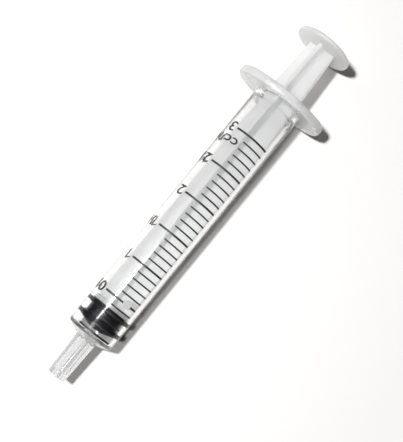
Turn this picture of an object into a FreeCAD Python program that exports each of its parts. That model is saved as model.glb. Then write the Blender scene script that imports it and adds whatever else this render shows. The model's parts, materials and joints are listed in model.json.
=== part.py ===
"""Small luer slip syringe with its plunger drawn back a little, lying at rest.

Every piece is drawn along the X axis. Stations are distances from the end of
the tip, so the tip is at station 0 and the thumb disc is at the far end. The
rest placement then lays the whole syringe on the floor, Z up, where it rests
on the edge of its shoulder and on its finger flange.
"""
import FreeCAD
import Part
import Sketcher
import math
import os

doc = FreeCAD.newDocument("Syringe")

# Driving sizes in millimetres, degrees and millilitres, each written once
SIZES = {
    # The tip: a slip taper that narrows by 6 in 100
    "tip_length": "9.33",
    "tip_end_diameter": "4.05",
    "tip_taper": "0.06",
    "tip_edge_chamfer": "0.25",
    "orifice_diameter": "1.5",
    "orifice_length": "1.2",
    "passage_diameter": "2.0",
    "passage_step": "0.25",
    # The conical shoulder, the tube and its walls
    "shoulder_depth": "1.3",
    "shoulder_wall": "0.98",
    "shoulder_root_chamfer": "0.3",
    "shoulder_edge_bevel": "0.3",
    "bore_diameter": "8.8",
    "front_wall": "0.835",
    "rear_wall": "1.0",
    "bore_lead_in": "0.25",
    # The scale: the bore turns each volume into a length
    "capacity_ml": "3",
    "divisions_per_ml": "10",
    "lines_per_long_line": "5",
    "zero_from_shoulder": "0.97",
    "last_line_to_flange": "10.05",
    "short_line_width": "0.27",
    "long_line_width": "0.38",
    "line_low_angle": "51",
    "short_line_high_angle": "6",
    "long_line_high_angle": "37",
    "ink_thickness": "0.03",
    # The oval finger flange
    "flange_wing": "5.0",
    "flange_side_land": "0.05",
    "flange_end_inset": "1.5",
    "flange_thickness": "1.75",
    "flange_over_thumb_disc": "0.88",
    "flange_edge_bevel": "0.4",
    "flange_root_chamfer": "0.2",
    # The low ring inside the open end that keeps the stopper in
    "ring_height": "0.22",
    "ring_land": "0.5",
    "ring_slope": "0.6",
    "ring_from_end": "2.2",
    # The rubber stopper
    "drawn_back": "1.49",
    "seal_clearance": "0.04",
    "nose_clearance": "0.06",
    "nose_flat_diameter": "4.8",
    "seal_length": "1.18",
    "seal_edge_chamfer": "0.22",
    "waist_length": "1.78",
    "waist_depth": "0.55",
    "socket_clearance": "0.05",
    # The plunger rod
    "head_diameter": "4.6",
    "head_length": "1.3",
    "head_taper_length": "0.9",
    "head_front_diameter": "2.8",
    "neck_diameter": "3.0",
    "neck_length": "1.5",
    "push_clearance": "0.05",
    "push_disc_thickness": "0.8",
    "ring_clearance": "0.08",
    "rib_end_span": "6.1",
    "rib_thickness": "0.95",
    "rib_taper_length": "24.3",
    "thumb_gap": "11.25",
    "thumb_disc_diameter": "12.62",
    "thumb_disc_thickness": "0.85",
    "thumb_disc_edge_chamfer": "0.25",
    "grip_ring_count": "2",
    "grip_ring_height": "0.2",
    "grip_ring_width": "0.5",
    "grip_ring_crest": "0.2",
    "grip_ring_diameter": "4.4",
    "grip_ring_pitch": "1.6",
    "rod_clock_angle": "20",
}

# Stations, diameters and lengths that follow from the driving sizes
DERIVED = {
    "tip_base_diameter": "tip_end_diameter + tip_length * tip_taper",
    "tube_front_diameter": "bore_diameter + 2 * front_wall",
    "tube_rear_diameter": "bore_diameter + 2 * rear_wall",
    "tube_start": "tip_length + shoulder_depth",
    "shoulder_rise": "(tube_front_diameter - tip_base_diameter) / 2",
    "bore_radius": "bore_diameter / 2",
    "bore_start": "tube_start + shoulder_wall - shoulder_depth * front_wall / shoulder_rise",
    "bore_cone_start": "tip_length + shoulder_wall"
                       " - shoulder_depth * (tip_base_diameter - passage_diameter) / 2"
                       " / shoulder_rise",
    "scale_zero": "tube_start + zero_from_shoulder",
    "line_pitch": "1000 / divisions_per_ml / (pi * bore_radius ^ 2)",
    "line_count": "capacity_ml * divisions_per_ml",
    "flange_front": "scale_zero + line_count * line_pitch + last_line_to_flange",
    "flange_rear": "flange_front + flange_thickness",
    "tube_end": "flange_front - flange_root_chamfer",
    "flange_length": "tube_rear_diameter + 2 * flange_wing",
    "flange_least_height": "tube_rear_diameter"
                           " + 2 * (flange_root_chamfer + flange_side_land + flange_edge_bevel)",
    "flange_height": "max(flange_least_height, thumb_disc_diameter + flange_over_thumb_disc)",
    "flange_end_radius": "flange_height / 2 - flange_end_inset",
    "flange_side_radius": "((flange_length / 2 - flange_end_radius) ^ 2"
                          " + (flange_height / 2) ^ 2 - flange_end_radius ^ 2)"
                          " / (2 * flange_end_inset)",
    "ring_start": "flange_rear - ring_from_end - ring_land - 2 * ring_slope",
    "seal_radius": "bore_radius - seal_clearance",
    "seal_front": "scale_zero + drawn_back",
    "nose_length": "scale_zero - bore_cone_start - nose_clearance"
                   " - shoulder_depth * (nose_flat_diameter - passage_diameter) / 2"
                   " / shoulder_rise",
    "nose_front": "seal_front - nose_length",
    "stopper_rear": "seal_front + 2 * seal_length + waist_length",
    "push_face": "stopper_rear + push_clearance",
    "rib_start": "push_face + push_disc_thickness",
    "rib_span": "bore_diameter - 2 * (ring_height + ring_clearance)",
    "head_rear": "push_face - neck_length",
    "head_shoulder": "head_rear - head_length",
    "head_front": "head_shoulder - head_taper_length",
    "thumb_face": "flange_rear + drawn_back + thumb_gap",
    "thumb_rear": "thumb_face + thumb_disc_thickness",
    "rib_taper_start": "thumb_face - rib_taper_length",
}

# How near an edge lies to the place it is looked for, in millimetres
SAME_PLACE = 0.001


def fill_sheet(label, cells, as_formula):
    """Puts each value in a cell of a new sheet, under its own name."""
    sheet = doc.addObject("Spreadsheet::Sheet", label)
    for row, (name, text) in enumerate(cells.items(), start=1):
        sheet.set(f"A{row}", name)
        sheet.set(f"B{row}", "=" + with_sheet_names(text) if as_formula else text)
        sheet.setAlias(f"B{row}", name)
        doc.recompute()
    return sheet


def with_sheet_names(text):
    """Writes sheet.name in place of each bare name of a size or station."""
    out = ""
    word = ""
    for letter in text + " ":
        if letter.isalnum() or letter in "_.":
            word += letter
            continue
        if word in SIZES:
            word = "Sizes." + word
        elif word in DERIVED:
            word = "Stations." + word
        out += word + letter
        word = ""
    return out.strip()


sizes = fill_sheet("Sizes", SIZES, as_formula=False)
stations = fill_sheet("Stations", DERIVED, as_formula=True)


def value(text):
    """The number that an expression of sizes and stations comes to."""
    result = sizes.evalExpression(with_sheet_names(text))
    return float(getattr(result, "Value", result))


def bind(thing, prop, text):
    """Ties a property of a feature to an expression of sizes and stations."""
    thing.setExpression(prop, with_sheet_names(text))


def new_body(label):
    body = doc.addObject("PartDesign::Body", label)
    body.Label = label
    return body


def origin_plane(body, role):
    return next(item for item in body.Origin.OriginFeatures if item.Role == role)


def new_sketch(body, name, role, station=None):
    """An empty sketch on one of the body's own planes, moved along its normal."""
    sketch = body.newObject("Sketcher::SketchObject", name)
    sketch.AttachmentSupport = [(origin_plane(body, role), "")]
    sketch.MapMode = "FlatFace"
    if station is not None:
        bind(sketch, "AttachmentOffset.Base.z", station)
    return sketch


def draw_outline(sketch, points):
    """Draws a closed outline whose corners are tied to expressions."""
    corners = [FreeCAD.Vector(value(x), value(y), 0) for x, y in points]
    count = len(corners)
    for i in range(count):
        sketch.addGeometry(Part.LineSegment(corners[i], corners[(i + 1) % count]), False)
    for i in range(count):
        sketch.addConstraint(Sketcher.Constraint("Coincident", i, 2, (i + 1) % count, 1))
    for i, (x, y) in enumerate(points):
        tie_corner(sketch, i, "DistanceX", x, axis=-2)
        tie_corner(sketch, i, "DistanceY", y, axis=-1)
    return sketch


def tie_corner(sketch, line, kind, text, axis):
    """Holds the start of a line at a distance from the origin, or on an axis."""
    if text == "0":
        sketch.addConstraint(Sketcher.Constraint("PointOnObject", line, 1, axis))
        return
    number = sketch.addConstraint(Sketcher.Constraint(kind, -1, 1, line, 1, value(text)))
    bind(sketch, f"Constraints[{number}]", text)


def revolve(body, sketch, name, kind="PartDesign::Revolution"):
    feature = body.newObject(kind, name)
    feature.Profile = sketch
    feature.ReferenceAxis = (sketch, ["H_Axis"])
    feature.Angle = 360
    return feature


def bevel_edges(body, base, name, width, wanted):
    """Bevels each edge of the last feature that the test picks."""
    doc.recompute()
    names = [f"Edge{i}" for i, edge in enumerate(base.Shape.Edges, start=1) if wanted(edge)]
    if not names:
        raise RuntimeError("no edge to bevel for " + name)
    feature = body.newObject("PartDesign::Chamfer", name)
    feature.Base = (base, names)
    bind(feature, "Size", width)
    return feature


def draw_oval(sketch):
    """The flange outline: two end arcs and two long arcs, all tangent."""
    end = value("flange_end_radius")
    side = value("flange_side_radius")
    reach = value("flange_length / 2") - end
    drop = side - value("flange_height / 2")
    turn = math.atan2(drop, reach)
    quarter = math.pi / 2
    arcs = [
        (FreeCAD.Vector(reach, 0, 0), end, -turn, turn),
        (FreeCAD.Vector(0, -drop, 0), side, turn, 2 * quarter - turn),
        (FreeCAD.Vector(-reach, 0, 0), end, 2 * quarter - turn, 2 * quarter + turn),
        (FreeCAD.Vector(0, drop, 0), side, 2 * quarter + turn, 4 * quarter - turn),
    ]
    up = FreeCAD.Vector(0, 0, 1)
    for centre, radius, start, stop in arcs:
        sketch.addGeometry(Part.ArcOfCircle(Part.Circle(centre, up, radius), start, stop), False)
    for i in range(4):
        sketch.addConstraint(Sketcher.Constraint("Tangent", i, 2, (i + 1) % 4, 1))
    for arc, axis in ((0, -1), (2, -1), (1, -2)):
        sketch.addConstraint(Sketcher.Constraint("PointOnObject", arc, 3, axis))
    sketch.addConstraint(Sketcher.Constraint("Equal", 0, 2))
    sketch.addConstraint(Sketcher.Constraint("Equal", 1, 3))
    for text, parts in (
        ("flange_end_radius", ("Radius", 0, end)),
        ("flange_side_radius", ("Radius", 1, side)),
        ("flange_length / 2 - flange_end_radius", ("DistanceX", -1, 1, 0, 3, reach)),
    ):
        number = sketch.addConstraint(Sketcher.Constraint(*parts))
        bind(sketch, f"Constraints[{number}]", text)


def make_barrel():
    """The clear moulding: tip, shoulder, tube and finger flange, then its bore."""
    body = new_body("barrel")
    outside = draw_outline(new_sketch(body, "barrel_outside", "XZ_Plane"), [
        ("0", "0"),
        ("0", "tip_end_diameter / 2 - tip_edge_chamfer"),
        ("tip_edge_chamfer", "(tip_end_diameter + tip_edge_chamfer * tip_taper) / 2"),
        ("tip_length - shoulder_root_chamfer",
         "(tip_base_diameter - shoulder_root_chamfer * tip_taper) / 2"),
        ("tip_length + shoulder_root_chamfer * shoulder_depth / shoulder_rise",
         "tip_base_diameter / 2 + shoulder_root_chamfer"),
        ("tube_start - shoulder_edge_bevel * shoulder_depth / shoulder_rise",
         "tube_front_diameter / 2 - shoulder_edge_bevel"),
        ("tube_start + shoulder_edge_bevel", "tube_front_diameter / 2"),
        ("tube_end", "tube_rear_diameter / 2"),
        ("flange_front", "tube_rear_diameter / 2 + flange_root_chamfer"),
        ("flange_rear", "tube_rear_diameter / 2 + flange_root_chamfer"),
        ("flange_rear", "0"),
    ])
    revolve(body, outside, "barrel_solid")

    oval = new_sketch(body, "flange_outline", "YZ_Plane", "flange_front")
    draw_oval(oval)
    flange = body.newObject("PartDesign::Pad", "flange")
    flange.Profile = oval
    bind(flange, "Length", "flange_thickness")
    rim = bevel_edges(body, flange, "flange_rim", "flange_edge_bevel", flange_rim)

    doc.recompute()
    before = rim.Shape.Volume
    inside = draw_outline(new_sketch(body, "barrel_inside", "XZ_Plane"), [
        ("0", "0"),
        ("0", "orifice_diameter / 2"),
        ("orifice_length", "orifice_diameter / 2"),
        ("orifice_length + passage_step", "passage_diameter / 2"),
        ("bore_cone_start", "passage_diameter / 2"),
        ("bore_start", "bore_radius"),
        ("ring_start", "bore_radius"),
        ("ring_start + ring_slope", "bore_radius - ring_height"),
        ("ring_start + ring_slope + ring_land", "bore_radius - ring_height"),
        ("ring_start + 2 * ring_slope + ring_land", "bore_radius"),
        ("flange_rear - bore_lead_in", "bore_radius"),
        ("flange_rear", "bore_radius + bore_lead_in"),
        ("flange_rear", "0"),
    ])
    bore = revolve(body, inside, "barrel_bore", "PartDesign::Groove")
    doc.recompute()
    if not bore.Shape.Volume < before:
        raise RuntimeError("the bore cut nothing")
    return body


def flange_rim(edge):
    """The edges of the oval, front and rear, which reach past the root ring."""
    middle = edge.valueAt((edge.FirstParameter + edge.LastParameter) / 2)
    flat = edge.BoundBox.XLength < SAME_PLACE
    return flat and math.hypot(middle.y, middle.z) > value("flange_height / 2") - SAME_PLACE


def make_stopper():
    """The rubber stopper: nose, two seals with a waist, and the rod's socket."""
    body = new_body("stopper")
    front_waist = "seal_front + seal_length"
    rear_waist = "stopper_rear - seal_length"
    waist = "bore_radius - waist_depth"
    seal_side = "seal_radius - seal_edge_chamfer"
    head = "head_diameter / 2 + socket_clearance"
    neck = "neck_diameter / 2 + socket_clearance"
    section = draw_outline(new_sketch(body, "stopper_section", "XZ_Plane"), [
        ("nose_front", "0"),
        ("nose_front", "nose_flat_diameter / 2"),
        ("seal_front", seal_side),
        ("seal_front + seal_edge_chamfer", "seal_radius"),
        (front_waist + " - seal_edge_chamfer", "seal_radius"),
        (front_waist, seal_side),
        (front_waist, waist),
        (rear_waist, waist),
        (rear_waist, seal_side),
        (rear_waist + " + seal_edge_chamfer", "seal_radius"),
        ("stopper_rear - seal_edge_chamfer", "seal_radius"),
        ("stopper_rear", seal_side),
        ("stopper_rear", neck),
        ("head_rear + socket_clearance", neck),
        ("head_rear + socket_clearance", head),
        ("head_shoulder", head),
        ("head_front - socket_clearance", "head_front_diameter / 2 + socket_clearance"),
        ("head_front - socket_clearance", "0"),
    ])
    revolve(body, section, "stopper_solid")
    return body


def make_plunger_rod():
    """The rod: head and neck, push disc, four tapering ribs and the thumb disc."""
    body = new_body("plunger_rod")
    section = draw_outline(new_sketch(body, "rod_front_section", "XZ_Plane"), [
        ("head_front", "0"),
        ("head_front", "head_front_diameter / 2"),
        ("head_shoulder", "head_diameter / 2"),
        ("head_rear", "head_diameter / 2"),
        ("head_rear", "neck_diameter / 2"),
        ("push_face", "neck_diameter / 2"),
        ("push_face", "rib_span / 2"),
        ("rib_start", "rib_span / 2"),
        ("rib_start", "0"),
    ])
    revolve(body, section, "rod_front")
    for name, role in (("rod_upright_ribs", "XZ_Plane"), ("rod_level_ribs", "XY_Plane")):
        ribs = draw_outline(new_sketch(body, name + "_outline", role), [
            ("rib_start", "rib_span / 2"),
            ("rib_taper_start", "rib_span / 2"),
            ("thumb_face", "rib_end_span / 2"),
            ("thumb_face", "-rib_end_span / 2"),
            ("rib_taper_start", "-rib_span / 2"),
            ("rib_start", "-rib_span / 2"),
        ])
        pad = body.newObject("PartDesign::Pad", name)
        pad.Profile = ribs
        pad.Midplane = True
        bind(pad, "Length", "rib_thickness")
    disc = draw_outline(new_sketch(body, "thumb_disc_section", "XZ_Plane"), [
        ("thumb_face", "0"),
        ("thumb_face", "thumb_disc_diameter / 2 - thumb_disc_edge_chamfer"),
        ("thumb_face + thumb_disc_edge_chamfer", "thumb_disc_diameter / 2"),
        ("thumb_rear - thumb_disc_edge_chamfer", "thumb_disc_diameter / 2"),
        ("thumb_rear", "thumb_disc_diameter / 2 - thumb_disc_edge_chamfer"),
        ("thumb_rear", "0"),
    ])
    revolve(body, disc, "thumb_disc")
    for turn in range(int(value("grip_ring_count"))):
        start = f"grip_ring_diameter / 2 + {turn} * grip_ring_pitch"
        slope = "(grip_ring_width - grip_ring_crest) / 2"
        grip = draw_outline(new_sketch(body, f"grip_ring_section_{turn + 1}", "XZ_Plane"), [
            ("thumb_rear - grip_ring_height", start),
            ("thumb_rear - grip_ring_height", f"{start} + grip_ring_width"),
            ("thumb_rear + grip_ring_height", f"{start} + {slope} + grip_ring_crest"),
            ("thumb_rear + grip_ring_height", f"{start} + {slope}"),
        ])
        revolve(body, grip, f"grip_ring_{turn + 1}")
    return body


def make_lines(name, width, high_angle, count, spacing):
    """One kind of scale line: slabs across the tube, kept where the ink lies."""
    slabs = new_body(name + "_slabs")
    half = f"{width} / 2"
    reach = "tube_rear_diameter"
    slab = draw_outline(new_sketch(slabs, name + "_slab_outline", "XY_Plane"), [
        (f"scale_zero - {half}", reach),
        (f"scale_zero + {half}", reach),
        (f"scale_zero + {half}", "-" + reach),
        (f"scale_zero - {half}", "-" + reach),
    ])
    first = slabs.newObject("PartDesign::Pad", name + "_slab")
    first.Profile = slab
    bind(first, "Length", reach)
    doc.recompute()
    row = slabs.newObject("PartDesign::LinearPattern", name + "_slab_row")
    row.Originals = [first]
    row.Direction = (slab, ["H_Axis"])
    row.Occurrences = count + 1
    bind(row, "Length", f"{count} * ({spacing})")
    slabs.Tip = row

    ink = new_body(name + "_ink")
    front = "tube_start + shoulder_edge_bevel"
    layer = draw_outline(new_sketch(ink, name + "_ink_outline", "XZ_Plane"), [
        (front, "tube_front_diameter / 2"),
        ("tube_end", "tube_rear_diameter / 2"),
        ("tube_end", "tube_rear_diameter / 2 + ink_thickness"),
        (front, "tube_front_diameter / 2 + ink_thickness"),
    ])
    sheet = revolve(ink, layer, name + "_ink_layer")
    bind(sheet, "Angle", f"line_low_angle + {high_angle}")
    back_to_start = FreeCAD.Rotation(FreeCAD.Vector(-1, 0, 0), value(high_angle))
    ink.Placement = FreeCAD.Placement(FreeCAD.Vector(), back_to_start)

    lines = doc.addObject("Part::Common", name)
    lines.Label = name
    lines.Base = slabs
    lines.Tool = ink
    return lines


def make_scale_print():
    """All the ink of the scale: short lines, with a longer one every so often."""
    count = int(value("line_count"))
    step = int(value("lines_per_long_line"))
    short = make_lines("short_lines", "short_line_width", "short_line_high_angle",
                       count, "line_pitch")
    long = make_lines("long_lines", "long_line_width", "long_line_high_angle",
                      count // step, "line_pitch * lines_per_long_line")
    ink = doc.addObject("Part::Fuse", "scale_print")
    ink.Label = "scale_print"
    ink.Base = short
    ink.Tool = long
    return ink


def tilt_on(near, far):
    """The tilt at which two points of the axis plane, each x and z, both touch the floor."""
    return math.atan2(near[1] - far[1], far[0] - near[0])


def rest_placement():
    """Lays the syringe on its shoulder, and on its flange or else its thumb disc."""
    shoulder = (value("tube_start + shoulder_edge_bevel"), -value("tube_front_diameter / 2"))
    flange = (value("flange_front + flange_edge_bevel"), -value("flange_height / 2"))
    thumb = (value("thumb_face + thumb_disc_edge_chamfer"), -value("thumb_disc_diameter / 2"))
    tilt = max(tilt_on(shoulder, flange), tilt_on(shoulder, thumb))
    lift = -shoulder[0] * math.sin(tilt) - shoulder[1] * math.cos(tilt)
    turn = FreeCAD.Rotation(FreeCAD.Vector(0, 1, 0), -math.degrees(tilt))
    return FreeCAD.Placement(FreeCAD.Vector(0, 0, lift), turn)


def whole_box(parts):
    box = FreeCAD.BoundBox()
    for item in parts:
        box.add(item.Shape.optimalBoundingBox(False))
    return box


def check(parts):
    """Stops before anything is written if a feature failed or a shape is bad."""
    for item in doc.Objects:
        if "Invalid" in item.State or "Error" in item.State:
            raise RuntimeError(f"{item.Name} failed: {item.State}")
    for item in parts:
        if item.Shape.isNull() or not item.Shape.isValid():
            raise RuntimeError(f"{item.Label} has no valid shape")


barrel = make_barrel()
stopper = make_stopper()
plunger_rod = make_plunger_rod()
scale_print = make_scale_print()
parts = (barrel, stopper, plunger_rod, scale_print)
doc.recompute()
check(parts)

lying = rest_placement()
clocked = FreeCAD.Rotation(FreeCAD.Vector(-1, 0, 0), value("rod_clock_angle"))
for item in parts:
    item.Placement = lying
plunger_rod.Placement = lying.multiply(FreeCAD.Placement(FreeCAD.Vector(), clocked))

# The row's origin is under the middle of the whole syringe, on the floor
middle = whole_box(parts).Center
for item in parts:
    item.Placement.move(FreeCAD.Vector(-middle.x, 0, 0))
check(parts)

os.makedirs("parts", exist_ok=True)
for item in parts:
    item.Shape.exportStep(f"parts/{item.Label}.step")
    box = item.Shape.optimalBoundingBox(False)
    print(f"{item.Label}: {len(item.Shape.Solids)} solids, {item.Shape.Volume:.2f} mm3,"
          f" x {box.XMin:.3f} to {box.XMax:.3f}, y {box.YMin:.3f} to {box.YMax:.3f},"
          f" z {box.ZMin:.3f} to {box.ZMax:.3f}")
start = barrel.Placement.Base
print(f"axis starts at {start.x:.4f}, {start.y:.4f}, {start.z:.4f} and rises"
      f" {math.degrees(abs(barrel.Placement.Rotation.Angle)):.4f} degrees")
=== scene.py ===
"""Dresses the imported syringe: a clear barrel, a black stopper, a milky plunger rod and a printed scale.

Pieces are drawn in the syringe's own coordinates, with X as the station along
the axis from the end of the tip, Y across and Z up, and then laid where the
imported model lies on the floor.
"""
import bpy
import bmesh
import json
import math
from mathutils import Matrix, Vector


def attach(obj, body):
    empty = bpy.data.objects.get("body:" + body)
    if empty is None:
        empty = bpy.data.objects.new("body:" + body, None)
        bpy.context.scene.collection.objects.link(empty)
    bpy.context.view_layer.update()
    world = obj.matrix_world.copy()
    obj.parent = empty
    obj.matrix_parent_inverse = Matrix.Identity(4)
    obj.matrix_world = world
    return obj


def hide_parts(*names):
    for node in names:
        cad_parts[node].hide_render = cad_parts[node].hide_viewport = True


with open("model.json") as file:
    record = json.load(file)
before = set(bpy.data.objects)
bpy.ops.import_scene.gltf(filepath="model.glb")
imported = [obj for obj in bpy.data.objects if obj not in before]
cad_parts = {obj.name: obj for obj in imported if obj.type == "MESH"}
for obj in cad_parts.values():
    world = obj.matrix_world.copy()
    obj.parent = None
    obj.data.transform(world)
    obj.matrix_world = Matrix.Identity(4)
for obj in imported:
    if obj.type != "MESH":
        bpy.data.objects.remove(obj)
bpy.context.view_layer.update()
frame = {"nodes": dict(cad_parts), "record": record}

bl_info = {
    "name": "Small Syringe",
    "version": (1, 0, 0),
    "blender": (4, 5, 0),
    "location": "View3D > Sidebar > Syringe",
    "description": "Builds the pieces, print and stage of a small plastic syringe",
    "category": "Add Mesh",
}

MM = 0.001


def mount(name):
    """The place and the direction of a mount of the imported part."""
    found = next(item for item in frame["record"]["mounts"] if item["name"] == name)
    return Vector(found["pos_m"]), Vector(found["axis"]).normalized()


TIP_END, TIP_FACING = mount("luer_taper")
ALONG = -TIP_FACING
ACROSS = Vector((0.0, 1.0, 0.0))
UP = ALONG.cross(ACROSS)
LYING = Matrix.Translation(TIP_END) @ Matrix((ALONG, ACROSS, UP)).transposed().to_4x4()


def station(place):
    """How far along the axis a place is from the end of the tip."""
    return (place - TIP_END).dot(ALONG)


def reach(node):
    """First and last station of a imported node."""
    stations = [station(vertex.co) for vertex in frame["nodes"][node].data.vertices]
    return min(stations), max(stations)


FLANGE_FRONT = station(mount("finger_rest_left")[0])
THUMB_REAR = station(mount("thumb_rest")[0])
BARREL_REAR = reach("barrel")[1]
STOPPER_FRONT, STOPPER_REAR = reach("stopper")
ROD_FRONT = reach("plunger_rod")[0]
PRINT_FRONT, PRINT_REAR = reach("scale_print")


def size(name, description, default):
    """A length property: written here in millimetres and held in metres."""
    return bpy.props.FloatProperty(name=name, description=description, default=default * MM,
                                   min=0.0, precision=5, subtype="DISTANCE", unit="LENGTH")


def angle(name, description, default):
    return bpy.props.FloatProperty(name=name, description=description,
                                   default=math.radians(default), subtype="ANGLE", unit="ROTATION")


def share(name, description, default, top=1.0):
    return bpy.props.FloatProperty(name=name, description=description, default=default,
                                   min=0.0, max=top, subtype="FACTOR")


def number(name, description, default):
    return bpy.props.FloatProperty(name=name, description=description, default=default)


def whole_number(name, description, default):
    return bpy.props.IntProperty(name=name, description=description, default=default, min=1)


def colour(name, description, default):
    return bpy.props.FloatVectorProperty(name=name, description=description, default=default,
                                         size=3, min=0.0, max=1.0, subtype="COLOR")


class BarrelSizes(bpy.types.PropertyGroup):
    """Sizes of the clear barrel."""
    tip_length: size("Tip length", "From the end of the tip to the shoulder", 9.33)
    tip_end: size("Tip end", "Diameter of the tip at its end", 4.05)
    tip_root: size("Tip root", "Diameter of the tip at the shoulder", 4.61)
    mouth: size("Mouth", "Diameter of the passage where it opens at the tip", 1.5)
    mouth_length: size("Mouth length", "Length of the narrow end of the passage", 1.2)
    passage: size("Passage", "Diameter of the passage through the tip", 2.0)
    shoulder_depth: size("Shoulder depth", "Length of the shoulder's cone", 1.3)
    shoulder_wall: size("Shoulder wall", "Thickness of the shoulder along the axis", 0.98)
    shoulder_round: size("Shoulder round", "Radius where the shoulder meets the tube", 0.6)
    bore: size("Bore", "Inside diameter of the tube", 8.8)
    front_tube: size("Front of tube", "Outside diameter behind the shoulder", 10.47)
    rear_tube: size("Rear of tube", "Outside diameter at the flange", 10.8)
    flange_length: size("Flange length", "Long way across the finger flange", 20.8)
    flange_height: size("Flange height", "Short way across the finger flange", 13.5)
    flange_end: size("Flange end radius", "Radius of the flange's two ends", 5.25)
    flange_edge: size("Flange edge", "Radius of the flange's rounded rim", 0.55)
    # The glint mark is a small raised dome on the tube; its whitish colour is a painted highlight.
    glint: size("Glint", "Diameter of the round gate mark on the tube", 1.9)
    glint_at: size("Gate at", "From the end of the tip to the middle of the gate mark", 20.05)
    glint_height: size("Gate height", "How far the gate mark stands out of the tube", 0.16)
    glint_round: angle("Gate round", "How far the gate mark is turned about the axis", 22.4)
    flange_root: size("Flange root", "Radius where the tube meets the flange", 0.2)
    ring_height: size("Ring height", "Height of the ring that keeps the stopper in", 0.22)
    ring_land: size("Ring land", "Length of the top of that ring", 0.5)
    ring_slope: size("Ring slope", "Length of each side of that ring", 0.6)
    ring_round: size("Ring round", "Radius of the edges of that ring", 0.6)
    ring_from_end: size("Ring from end", "From the ring to the open end", 2.2)
    lead_in: size("Lead-in", "Bevel at the open end of the bore", 0.25)


class StopperSizes(bpy.types.PropertyGroup):
    """Sizes of the rubber stopper."""
    nose_length: size("Nose length", "Length of the conical nose", 1.19)
    nose_flat: size("Nose flat", "Diameter of the flat on the nose", 3.0)
    nose_sink: size("Nose sink", "How far the domed nose stays behind a straight one", 0.18)
    seal: size("Seal", "Length of each sealing rib", 1.18)
    seal_round: size("Seal round", "Radius of the edges of the sealing ribs", 0.22)
    squeeze: size("Squeeze", "How far the rubber reaches into the wall, so that it wets it", 0.006)
    waist: size("Waist", "Diameter between the sealing ribs", 7.7)


class RodSizes(bpy.types.PropertyGroup):
    """Sizes of the plunger rod."""
    head: size("Head", "Diameter of the button inside the stopper", 4.6)
    head_front: size("Head front", "Diameter of the front of that button", 2.8)
    head_taper: size("Head taper", "Length of its cone", 0.9)
    head_length: size("Head length", "Length of its straight part", 1.3)
    neck: size("Neck", "Diameter of the neck behind the button", 3.0)
    push_gap: size("Push gap", "Clearance between the stopper and the push disc", 0.05)
    push_disc: size("Push disc", "Thickness of the disc that pushes the stopper", 0.8)
    span: size("Rib span", "Across two opposite ribs", 8.2)
    end_span: size("End span", "Across two opposite ribs at the thumb disc", 6.1)
    taper: size("Rib taper", "Length over which the ribs narrow", 24.3)
    rib: size("Rib", "Thickness of a rib", 0.95)
    rib_edge: size("Rib edge", "Radius of a rib's long edges", 0.16)
    rib_root: size("Rib root", "Radius between two ribs", 0.3)
    thumb: size("Thumb disc", "Diameter of the thumb disc", 12.62)
    thumb_thickness: size("Thumb disc thickness", "Thickness of the thumb disc", 0.85)
    thumb_edge: size("Thumb disc edge", "Radius of the thumb disc's edges", 0.36)
    grip: size("Grip ring", "Inner diameter of the first grip ring", 4.4)
    grip_pitch: size("Grip pitch", "From one grip ring to the next", 1.6)
    grip_width: size("Grip width", "Width of a grip ring", 0.5)
    grip_height: size("Grip height", "Height of a grip ring", 0.2)
    clock: angle("Clock", "How far the ribs are turned about the axis", 20.0)


class PrintSizes(bpy.types.PropertyGroup):
    """Sizes of the printed scale."""
    volume: whole_number("Volume", "What the scale holds, in mL", 3)
    divisions: whole_number("Divisions", "Lines for each mL", 10)
    long_every: whole_number("Long every", "Lines from one long line to the next", 5)
    short_line: size("Short line", "Width of a short line", 0.33)
    long_line: size("Long line", "Width of a long line", 0.42)
    low: angle("Low end", "Where every line ends on the lower side", 51.0)
    short_high: angle("Short high end", "Where a short line ends on the upper side", 6.0)
    long_high: angle("Long high end", "Where a long line ends on the upper side", 37.0)
    ink: size("Ink", "Thickness of the ink", 0.03)
    bite: size("Bite", "How far the ink reaches into the wall", 0.004)
    number_height: size("Number height", "Height of the numbers", 2.2)
    number_width: size("Number width", "Width of the number 2, and so of the others", 1.95)
    one_width: size("One width", "Width of the number 1, with its flag", 1.25)
    one_stroke: size("One stroke", "Width of the strokes of the number 1", 0.3)
    one_flag: size("One flag", "How far the flag of the number 1 drops", 0.52)
    number_start: angle("Number start", "Where the numbers begin", 42.5)
    unit_height: size("Unit height", "Height of the small letters of the unit", 1.4)
    unit_width: size("Unit width", "Width of one small letter of the unit", 1.5)
    unit_start: angle("Unit start", "Where the unit begins", 14.0)
    boldness: share("Boldness", "How far strokes are thickened, in letter heights", 0.012)
    unit_volume: number("Unit place", "Reading beside which the unit stands", 2.84)


class Finishes(bpy.types.PropertyGroup):
    """Colours and surfaces of the mouldings."""
    clear: colour("Clear plastic", "Tint of the barrel", (0.975, 0.98, 0.985))
    cloudy: colour("Cloudy plastic", "Colour of the flange", (0.90, 0.905, 0.905))
    cloudy_tip: colour("Cloudy tip", "Colour of the tip", (0.88, 0.89, 0.89))
    milky: colour("Milky plastic", "Colour of the plunger rod", (0.785, 0.79, 0.795))
    # Painted highlight: the whitish colour of the glint mark stands in for a bright glint on the tube.
    glint: colour("Gate mark", "The whitish gate mark on the barrel", (0.97, 0.97, 0.965))
    rubber: colour("Rubber", "Colour of the stopper", (0.006, 0.006, 0.007))
    ink: colour("Ink", "Colour of the print", (0.012, 0.011, 0.011))
    clear_gloss: share("Clear roughness", "Roughness of the barrel", 0.09)
    milky_gloss: share("Milky roughness", "Roughness of the plunger rod", 0.34)
    upper_light: share("Light in", "Lamp light that passes the upper wall", 0.95)
    lower_light: share("Light out", "Lamp light that passes the lower wall", 0.27)
    bounced_light: share("Bounced light", "Bounced light that passes each surface", 0.93)
    milky_light: share("Light through ribs", "Lamp light that passes each surface of the ribs", 0.45)
    index: number("Refraction", "Index of refraction of the plastic", 1.49)


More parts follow.
